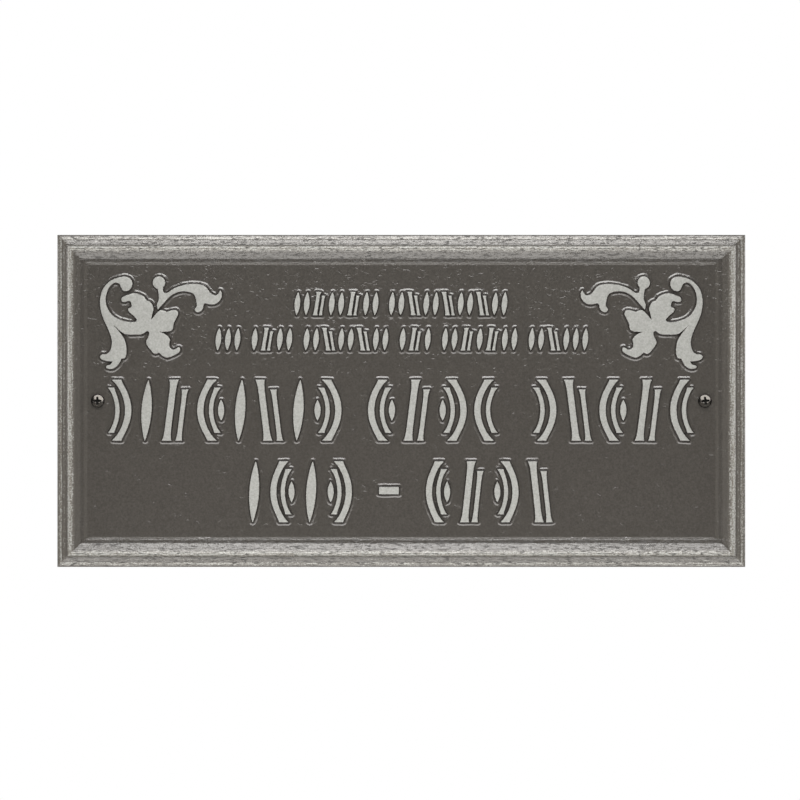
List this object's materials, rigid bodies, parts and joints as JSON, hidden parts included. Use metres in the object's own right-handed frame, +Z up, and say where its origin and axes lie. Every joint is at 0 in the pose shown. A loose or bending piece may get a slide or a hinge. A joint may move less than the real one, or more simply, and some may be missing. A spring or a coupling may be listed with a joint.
{
  "type": "commemorative plaque",
  "caption": "Flat rectangular cast wall plaque with a moulded frame, leaf scrolls in the upper corners, rows of raised flared strokes and round-head fixing screws.",
  "frame": {"origin": "middle of the plaque's flat back, which lies against the wall", "axes": "+X along the plaque's length to the reader's right, +Y into the wall, +Z up; the front faces -Y"},
  "size_m": [0.3682, 0.0284, 0.1778],
  "materials": {
    "cast_aluminium": "sand-cast aluminium under a dark pewter-grey enamel, with the raised faces and the ridge of the frame rubbed back to bare satin metal",
    "blackened_steel": "blackened steel, semi-gloss"
  },
  "bodies": {
    "root": {"cast_plaque": "cast_aluminium", "left_screw": "blackened_steel", "right_screw": "blackened_steel"}
  },
  "joints": []
}
